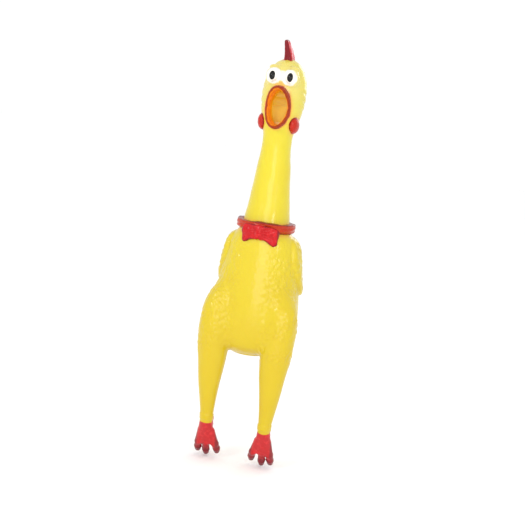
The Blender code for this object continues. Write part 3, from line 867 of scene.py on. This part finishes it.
def make_skin():
    """One surface for the whole casting, divided into the body, two neck pieces, the head and the
    legs.
    """
    p, faces = fine_surface(skin, (-40, -34, -92), (40, 42, 176), 0.9)
    base = vertex_normals(p, faces)
    p = p + base * skin_relief(p)[:, None]
    normals = vertex_normals(p, faces)
    masks = skin_masks(p, normals, base)
    middle = p[faces].mean(1)
    x, z = middle[:, 0], middle[:, 2]
    leg = (z < HIP_Z) & (np.abs(x) > 9)
    low, high = NECK_CUTS
    zones = {
        "skin_body": (z < COLLAR_Z) & ~leg,
        "skin_neck_lower": (z >= COLLAR_Z) & (z < low),
        "skin_neck_upper": (z >= low) & (z < high),
        "skin_head": z >= high,
        "skin_leg_left": leg & (x > 0) & (z > ANKLE_Z),
        "skin_leg_right": leg & (x < 0) & (z > ANKLE_Z),
    }
    made = {}
    for name, kept in zones.items():
        made[name] = piece(name, p, faces[kept], VINYL, masks, normals)
    return made


def bend_skin(made):
    """Bakes each skin piece's placement into its mesh, and hides the CAD nodes that it replaces."""

    def across(name, joint, parent, child, half):
        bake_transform(made[name])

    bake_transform(made["skin_body"])
    body_nodes = ("torso_skin", "back_panel", "tail", "wing_left", "wing_right")
    stands_for(made["skin_body"], "yellow_vinyl", *body_nodes)
    across("skin_neck_lower", "neck_nod", "torso", "neck_lower", (0, 0, 5.9))
    stands_for(made["skin_neck_lower"], "yellow_vinyl", "neck_root_fold", "neck_lower_skin")
    across("skin_neck_upper", "neck_sway", "neck_lower", "neck_upper", (0, 0, 6.0))
    stands_for(made["skin_neck_upper"], "yellow_vinyl", "neck_middle_fold", "neck_upper_skin")
    across("skin_head", "head_nod", "neck_upper", "head", (0, 0, 6.5))
    stands_for(made["skin_head"], "yellow_vinyl", "neck_top_fold", "head_skin")
    for name in SIDES:
        across(f"skin_leg_{name}", f"hip_{name}", "torso", f"leg_{name}", (0, 0, -5.0))
        stands_for(made[f"skin_leg_{name}"], "yellow_vinyl", f"hip_fold_{name}", f"leg_skin_{name}")


# -------------------- feet


# The palm of a foot, from the ankle: height, centre x, centre y, half width, half depth.
PALM = [
    (4.0, 0.0, -0.3, 4.8, 4.8),
    (0.0, 0.0, 0.0, 4.7, 4.6),
    (-6.0, 0.0, 1.3, 5.1, 4.3),
    (-13.0, 0.0, 3.7, 6.2, 3.8),
    (-19.0, 0.0, 5.6, 7.0, 2.9),
    (-24.0, 0.0, 7.4, 7.4, 2.2),
]
ANKLE = np.array((21.9, -11.3, -92.8))
# Where each toe ends: distance from the middle of the foot, and drop below the ankle.
TOES = [(-8.6, 29.2), (-0.6, 31.4), (6.0, 30.0)]


def foot_field(p):
    """A left foot that hangs toes down, and the ankle above it."""
    made = np.maximum(legs(p), -93.5 - p[:, 2])
    q = p - ANKLE
    x, y, half_x, half_y = curve_through(PALM, q[:, 2])
    palm = from_ellipse(q[:, 0] - x, q[:, 1] - y, half_x, half_y)
    palm = np.maximum(palm, np.maximum(q[:, 2] - 2, -21.2 - q[:, 2] - 0.03 * (q[:, 0] + 1.5) ** 2))
    made = joined(made, palm, 2.0)
    for spread, drop in TOES:
        toe = from_limb(
            q,
            [
                ((spread * 0.5, 3.4, -11.0), 2.6),
                ((spread * 0.86, 7.0, -21.0), 2.6),
                ((spread * 0.98, 9.4, 4.4 - drop), 2.5),
                ((spread, 10.8, 2.2 - drop), 2.2),
            ],
            1.2,
        )
        made = joined(made, toe, 1.8)
    spur = from_limb(
        q,
        [
            ((0, 2.4, 0.0), 3.8),
            ((0, 8.2, -2.6), 3.3),
            ((0, 12.4, -8.6), 2.6),
            ((0, 15.2, -12.6), 2.1),
            ((0, 17.2, -15.2), 1.2),
        ],
        1.2,
    )
    return joined(made, spur, 1.8)


def foot_relief(p):
    """Scutes across the front of the toes and a pebbled web."""
    z = p[:, 2]
    rows = 0.5 + 0.5 * np.cos(2 * math.pi * (z + 0.6 * p[:, 1]) / 2.5)
    rough = smooth_step(p[:, 1] - 0.45 * (-z - 93), -9.5, -6) * smooth_step(-z, 88, 95)
    scutes = 0.3 * rows**0.6 * (0.25 + 0.75 * rough) * smooth_step(-z, 106, 112)
    return scutes + 0.2 * lumps_of(p, 1.7) * rough


def make_foot(name, side):
    p, faces = fine_surface(foot_field, (8, -22, -128), (36, 11, -83), 0.7, foot_relief)
    normals = vertex_normals(p, faces)
    web = from_ellipse(p[:, 0] - ANKLE[0] + 1, p[:, 1] - ANKLE[1] - 6, 7.6, 30)
    # Painted shade: darker at the toe tips and along the sides of the foot.
    painted_shade = 0.9 * smooth_step(-p[:, 2] + 1.2 * cloud_noise(p, 2.0), 113.5, 120)
    painted_shade = np.maximum(painted_shade, 0.75 * smooth_step(web + 0.4 * cloud_noise(p, 2.0), -1.4, 0.1))
    keep = p[faces].mean(1)[:, 2] < ANKLE_Z + 0.3
    if side < 0:
        p, normals, faces = p * (-1, 1, 1), normals * (-1, 1, 1), faces[:, ::-1]
    masks = {"red": foot_paint(p), "painted_shade": painted_shade}
    foot = piece(f"foot_skin_{name}", p, faces[keep], VINYL, masks, normals)
    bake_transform(foot)
    stands_for(foot, "red_paint", f"foot_{name}", f"ankle_fold_{name}")


# -------------------- head


def comb_field(p):
    """The comb, which leans to one side and waves a little."""
    lean = 0.4 * np.sin((p[:, 1] + 6) / 7.0) * smooth_step(p[:, 2], 166, 180)
    lean = lean - 2.0 * smooth_step(p[:, 2], 170, 187)
    edge = from_outline(p[:, 1], p[:, 2], COMB_CURVE)
    return cut(edge, np.abs(p[:, 0] - lean) - comb_half(p), 2.2)


def comb_relief(p):
    """Grooves that run from the crown up between the points of the comb."""
    turn = np.degrees(np.arctan2(p[:, 2] - 150, p[:, 1] + 1))
    grooves = 0.5 + 0.5 * np.cos(2 * math.pi * (turn + 8) / 13.0)
    return 0.4 * grooves**2 + 0.14 * lumps_of(p, 1.8)


def make_comb():
    p, faces = fine_surface(comb_field, (-6, -15, 150), (5, 24, 189), 0.6, comb_relief)
    edge = from_outline(p[:, 1], p[:, 2], COMB_CURVE)
    # Painted shade: darker along the comb's outline.
    painted_shade = 0.9 * smooth_step(edge + 0.4 * cloud_noise(p, 2.0), -1.7, -0.3)
    # Painted highlight: paler pink in the middle of the comb, away from its outline.
    painted_highlight = 0.55 * smooth_step(-edge + 0.8 * cloud_noise(p + 20, 3.0), 1.6, 3.2)
    comb = piece("comb_fin", p, faces, PAINT, {"painted_shade": painted_shade, "painted_highlight": painted_highlight})
    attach(comb, "head")
    stands_for(comb, "red_paint", "comb")


def make_earlobe(name, side):
    def field(p):
        return from_ellipsoid(p, (side * LOBE[0], *LOBE[1:]), LOBE_HALF, tilt=LOBE_TILT)

    def relief(p):
        return 0.16 * lumps_of(p, 1.6)

    low, high = sorted((side * 5, side * 18))
    p, faces = fine_surface(field, (low, -17, 116), (high, 4, 137), 0.7, relief)
    off_head = trunk(p)
    # Painted shade: darker where the lobe meets the head.
    painted_shade = 0.75 * (1 - smooth_step(off_head + 0.3 * cloud_noise(p, 2.0), 0.2, 1.4))
    masks = {"painted_shade": painted_shade, "warm": 0.4 * np.ones(len(p))}
    lobe = piece(f"earlobe_{name}_skin", p, faces, PAINT, masks)
    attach(lobe, "head")
    stands_for(lobe, "red_paint", f"earlobe_{name}")


def ring_grid(rows, closed=False):
    """Points and quads of rings that each close on themselves."""
    points = np.array(rows, float)
    count, around = points.shape[:2]
    faces = []
    for i in range(count if closed else count - 1):
        for j in range(around):
            a, b = i * around + j, i * around + (j + 1) % around
            c, d = ((i + 1) % count) * around + (j + 1) % around, ((i + 1) % count) * around + j
            faces.append((a, b, c, d))
    return points.reshape(-1, 3), np.array(faces)


def make_beak():
    """The lips round the open mouth. They reach furthest at the tips of the two halves of the beak."""
    inner_x, inner_z = MOUTH_INNER
    # The lip in section: how far out in its thickness, and how far from its root to its tip.
    profile = [(1.0, 0.0), (1.0, 0.25), (1.02, 0.5), (1.05, 0.75), (1.0, 0.9), (0.8, 1.0), (0.5, 1.03)]
    profile += [(0.22, 1.0), (0.05, 0.9), (0.0, 0.7), (0.0, 0.4), (0.0, 0.0)]
    rows = []
    for turn in np.linspace(0, 2 * math.pi, 120, endpoint=False):
        up = math.sin(turn)
        reach = UPPER_REACH if up > 0 else LOWER_REACH
        tip = CORNER_Y - reach * abs(up) ** (1.15 if up > 0 else 1.25)
        thick = LIP * (1 + 0.16 * abs(up) ** 3)
        row = []
        for out, share in profile:
            y = BEAK_ROOT_Y + (tip - BEAK_ROOT_Y) * share
            x = (inner_x + out * thick) * math.cos(turn)
            z = MOUTH_Z + (inner_z + out * thick) * up
            row.append((x, y, z))
        rows.append(row)
    p, faces = ring_grid(rows, closed=True)
    p, faces = subdivided(p, faces[:, ::-1])
    out = from_ellipse(p[:, 0], p[:, 2] - MOUTH_Z, inner_x + LIP * 0.3, inner_z + LIP * 0.3)
    p = p + vertex_normals(p, faces) * (0.14 * lumps_of(p, 2.0))[:, None]
    inner = 1 - smooth_step(out + 0.25 * cloud_noise(p, 2.0), -0.5, 0.25)
    outer = 0.7 * smooth_step(out + 0.15 * cloud_noise(p, 2.0), 1.15, 1.5)
    masks = {"inner": inner, "outer": outer}
    beak = piece("beak_lips", p, faces, BEAK, masks)
    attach(beak, "head")
    stands_for(beak, "red_paint", "beak_upper", "beak_lower")


def make_lining():
    """The inside of the mouth, and the throat that grips the squawker."""
    inner_x, inner_z = MOUTH_INNER
    centre = (0, POCKET_Y, MOUTH_Z)

    def field(p):
        wall = POCKET_WALL
        outer = from_ellipsoid(p, centre, (inner_x + wall, POCKET_DEPTH + wall, inner_z + wall))
        away = np.hypot(p[:, 0], p[:, 1] - THROAT_Y)
        above = p[:, 2] - THROAT_TOP
        socket = np.maximum(away - THROAT_OUTER, np.maximum(THROAT_LOW - p[:, 2], above))
        outer = joined(outer, socket, 1.5)
        hollow = from_ellipsoid(p, centre, (inner_x, POCKET_DEPTH, inner_z))
        bore = np.maximum(away - THROAT_BORE, above)
        hollow = joined(hollow, bore, 1.2)
        made = cut(outer, -hollow, 0.5)
        return np.maximum(made, POCKET_Y + 0.1 - p[:, 1])

    p, faces = fine_surface(field, (-10, -14.5, 107), (10, 7, 153), 0.55)
    depth = np.clip((p[:, 1] - POCKET_Y) / POCKET_DEPTH, 0, 1)
    lining = piece("mouth_skin", p, faces, LINING, {"depth": depth})
    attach(lining, "head")
    stands_for(lining, "mouth_lining", "mouth_pocket")


def make_eye_white(name, side):
    """The bulging white: rings round its front pole, and a fan of quads that closes them."""
    centre = np.array((side * EYE[0], EYE[1], EYE[2]))
    half = np.array(EYE_HALF)
    around = 48
    rows = []
    for tilt in np.linspace(0.02, math.pi * 0.62, 26):
        ring = []
        for turn in np.linspace(0, 2 * math.pi, around, endpoint=False):
            way = (math.sin(tilt) * math.cos(turn), -math.cos(tilt), math.sin(tilt) * math.sin(turn))
            ring.append(centre + half * way)
        rows.append(ring)
    p, faces = ring_grid(rows)
    p = np.vstack([p, centre + half * (0, -1, 0)])
    tip = len(p) - 1
    first = np.arange(0, around, 2)
    fan = np.stack([first, first + 1, (first + 2) % around, np.full(len(first), tip)], 1)
    faces = np.vstack([faces[:, ::-1], fan])
    white = piece(f"eye_{name}_white", p, faces, EYE_WHITE)
    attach(white, "head")
    stands_for(white, "eye_white", f"eye_{name}")


def make_pupil(name, side):
    """A black oval painted on the front of the white, as a thin lens that looks a little outward."""
    centre = np.array((side * EYE[0], EYE[1], EYE[2]))
    half = np.array(EYE_HALF)
    look = Vector((side * 0.02, -1.0, 0.05)).normalized()
    right = look.cross(Vector((0, 0, 1))).normalized()
    upward = right.cross(look)
    # Each ring of the lens: its share of the pupil's size, and how far it stands off the white.
    profile = [(0.02, 0.14), (0.3, 0.14), (0.6, 0.13), (0.85, 0.1)]
    profile += [(0.97, 0.05), (1.0, -0.1), (0.6, -0.3), (0.02, -0.3)]
    rows = []
    for out, proud in profile:
        ring = []
        for turn in np.linspace(0, 2 * math.pi, 40, endpoint=False):
            a, b = PUPIL_HALF[0] * out * math.cos(turn), PUPIL_HALF[1] * out * math.sin(turn)
            flat = np.array(right) * a + np.array(upward) * b
            depth = 1 - ((flat / half) ** 2).sum()
            spot = centre + flat + np.array(look) * (half[1] * math.sqrt(max(depth, 0.0)) + proud)
            ring.append(spot)
        rows.append(ring)
    p, faces = ring_grid(rows)
    pupil = piece(f"pupil_{name}_paint", p, faces, PUPIL)
    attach(pupil, "head")
    stands_for(pupil, "pupil_black", f"pupil_{name}")


# -------------------- collar and bow


def collar_surface(p):
    """Distance out from the foot of the neck, and angle round it from the front."""
    half, front, back = curve_through(TRUNK, np.full(len(p), COLLAR_Z - 2.0))
    centre = (front + back) / 2
    out = from_ellipse(p[:, 0], p[:, 1] - centre, half, (back - front) / 2)
    return out, np.arctan2(p[:, 0], centre - p[:, 1])


def collar_field(p):
    """The ribbon round the foot of the neck, with a rolled upper edge."""
    out, turn = collar_surface(p)
    rise = 0.5 * np.sin(2 * turn + 0.6) + 0.35 * np.sin(5 * turn)
    half_z = 3.7 + 0.25 * np.sin(3 * turn + 1)
    here = COLLAR_Z + 0.3 + 0.4 * rise
    band = from_ellipse(out - 0.2, p[:, 2] - here, 3.2, half_z)
    lip = from_ellipse(out - 2.4, p[:, 2] - here - half_z * 0.66, 1.1, 1.1)
    return joined(band, lip, 0.9)


def collar_relief(p):
    """Creases that run along the ribbon."""
    turn = collar_surface(p)[1]
    folds = np.sin(2.1 * (p[:, 2] - COLLAR_Z) + 2.5 * np.sin(2 * turn) + 1.2 * cloud_noise(p, 6.0))
    return 0.28 * folds + 0.12 * cloud_noise(p, 1.6)


# One side of the bow from in front, as distance from its middle and height.
BOW_SIDE = [
    (0.0, 53.4),
    (4.0, 53.6),
    (9.0, 53.8),
    (12.6, 53.0),
    (13.5, 49.0),
    (13.4, 42.6),
    (11.4, 40.4),
    (9.0, 41.2),
    (5.6, 43.4),
    (0.0, 44.2),
]
BOW_CURVE = rounded_outline(BOW_SIDE)


def off_bow(p):
    """How far points are outside the bow's outline, seen from in front."""
    return from_outline(np.abs(p[:, 0]), p[:, 2] + 0.03 * p[:, 0], BOW_CURVE)


def bow_field(p):
    """The bow's two sides, draped over the breast, and the knot between them."""
    out = collar_surface(p)[0]
    drape = 3.3 - 0.02 * np.abs(p[:, 0]) - 0.06 * (COLLAR_Z - p[:, 2])
    sheet = np.abs(out - drape) - 1.25
    made = cut(off_bow(p), sheet, 1.3)
    knot = from_ellipsoid(p, (0, -21.2, 49.2), (2.5, 1.9, 4.3))
    return joined(made, knot, 1.6)


def bow_relief(p):
    """Folds that fan out from the knot."""
    x = np.abs(p[:, 0])
    fan = np.arctan2(p[:, 2] - 48.8, x + 3.5)
    folds = np.cos(fan * 12 + 0.8 * cloud_noise(p, 5.0))
    return 0.45 * folds * smooth_step(x, 1.0, 4.5) + 0.14 * cloud_noise(p, 1.5)


def make_collar():
    p, faces = fine_surface(collar_field, (-26, -26, 45), (26, 26, 59), 0.75, collar_relief)
    # Painted shade: darker along the ribbon's upper and lower edges.
    rim = np.abs(p[:, 2] - COLLAR_Z - 0.4) + 0.3 * cloud_noise(p, 2.0)
    painted_shade = 0.85 * smooth_step(rim, 2.2, 3.4)
    masks = {"painted_shade": painted_shade, "warm": 0.8 * np.ones(len(p))}
    collar = piece("collar_ribbon", p, faces, PAINT, masks)
    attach(collar, "torso")
    stands_for(collar, "red_paint", "collar_band")

    p, faces = fine_surface(bow_field, (-16, -28, 36), (16, -10, 56), 0.6, bow_relief)
    edge = off_bow(p) + 0.4 * cloud_noise(p, 2.0)
    # Painted shade: darker towards the bow's outline, except at the knot.
    painted_shade = 0.75 * smooth_step(edge, -1.2, 0.0) * (np.abs(p[:, 0]) > 3)
    bow = piece("bow_ribbon", p, faces, PAINT, {"painted_shade": painted_shade})
    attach(bow, "torso")
    stands_for(bow, "red_paint", "bow_knot", "bow_left", "bow_right")


# -------------------- squawker, stage and camera


def finish_squawker():
    """Gives the squawker's own CAD pieces their plastics."""
    for name in ("squawker_barrel", "reed_block", "reed_wedge"):
        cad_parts[name].data.materials.clear()
        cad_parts[name].data.materials.append(MOULDED)
    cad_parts["reed_tongue"].data.materials.clear()
    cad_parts["reed_tongue"].data.materials.append(FILM)


def make_stage():
    """A white floor in a white room."""
    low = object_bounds()[0].z
    bpy.ops.mesh.primitive_plane_add(size=8, location=(0, 0, low - 0.0005))
    floor = bpy.context.object
    floor.name = "floor"
    material = bpy.data.materials.new("floor_paper")
    material.use_nodes = True
    shader = material.node_tree.nodes["Principled BSDF"]
    shader.inputs["Base Color"].default_value = (0.98, 0.98, 0.98, 1)
    shader.inputs["Roughness"].default_value = 0.9
    floor.data.materials.append(material)

    world = bpy.data.worlds.new("studio")
    world.use_nodes = True
    world.node_tree.nodes["Background"].inputs["Color"].default_value = (1, 1, 1, 1)
    world.node_tree.nodes["Background"].inputs["Strength"].default_value = 1.03
    bpy.context.scene.world = world
    bpy.context.scene.view_settings.view_transform = "Standard"


def add_light(name, place, aim, size, power):
    data = bpy.data.lights.new(name, "AREA")
    data.shape = "DISK"
    data.size = size
    data.energy = power
    light = bpy.data.objects.new(name, data)
    bpy.context.scene.collection.objects.link(light)
    light.location = place
    light.rotation_mode = "QUATERNION"
    light.rotation_quaternion = (Vector(aim) - Vector(place)).to_track_quat("-Z", "Y")


def make_lights():
    aim = (0, 0, 0.03)
    add_light("left_key", (-0.45, -0.85, 0.5), aim, 0.12, 1.9)
    add_light("right_key", (0.7, -0.75, 0.35), aim, 0.2, 1.0)
    add_light("front_fill", (0.15, -0.95, 0.16), (0, 0, 0.13), 0.5, 1.6)
    add_light("rear_key", (0.25, 0.9, 0.4), aim, 0.4, 0.9)


def make_camera():
    """The toy from in front, turned and raised a little, with its head leaning to the right."""
    data = bpy.data.cameras.new("camera")
    data.lens = 85
    camera = bpy.data.objects.new("camera", data)
    bpy.context.scene.collection.objects.link(camera)
    turn, raised, roll = math.radians(12), math.radians(8), math.radians(8)
    back = Vector(
        (math.sin(turn) * math.cos(raised), -math.cos(turn) * math.cos(raised), math.sin(raised))
    )
    centre = Vector((0, 0.002, 0.0302))
    camera.location = centre + back * 0.9
    camera.rotation_mode = "QUATERNION"
    facing = (-back).to_track_quat("-Z", "Y")
    camera.rotation_quaternion = facing @ Matrix.Rotation(roll, 3, "Z").to_quaternion()
    bpy.context.scene.camera = camera


def main():
    bend_skin(make_skin())
    for name, side in SIDES.items():
        make_foot(name, side)
        make_earlobe(name, side)
        make_eye_white(name, side)
        make_pupil(name, side)
    make_comb()
    make_beak()
    make_lining()
    make_collar()
    finish_squawker()
    make_stage()
    make_lights()
    make_camera()


main()
